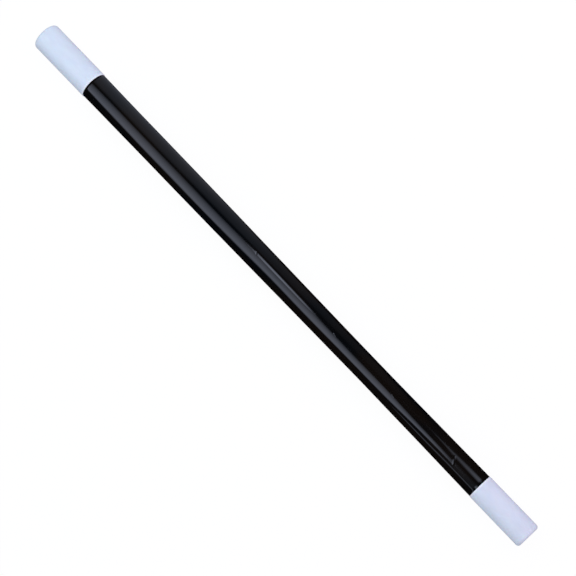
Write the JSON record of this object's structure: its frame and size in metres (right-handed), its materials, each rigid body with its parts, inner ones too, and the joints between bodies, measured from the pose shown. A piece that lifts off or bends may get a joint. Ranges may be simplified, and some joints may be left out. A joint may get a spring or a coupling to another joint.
{
  "type": "magic wand",
  "caption": "Slim straight stage wand: a glossy black plastic tube, slightly narrower to one end, with a white moulded cap pushed into each end.",
  "frame": {"origin": "middle of the wand, on its axis", "axes": "+X along the wand from the left cap to the right cap; the wand is round about X, so +Y and +Z are any two directions across it"},
  "size_m": [0.305, 0.0132, 0.0132],
  "materials": {
    "black_plastic": "high gloss black, extruded thin-walled tube",
    "white_plastic": "satin cool white, injection moulded"
  },
  "bodies": {
    "tube": {"black_tube": "black_plastic"},
    "left_end": {"left_cap": "white_plastic"},
    "right_end": {"right_cap": "white_plastic"}
  },
  "joints": [
    {"name": "left_cap_pull", "type": "slide", "parent": "tube", "child": "left_end", "axis": [-1, 0, 0], "range_m": [0, 0.02]},
    {"name": "right_cap_pull", "type": "slide", "parent": "tube", "child": "right_end", "axis": [1, 0, 0], "range_m": [0, 0.02]}
  ]
}
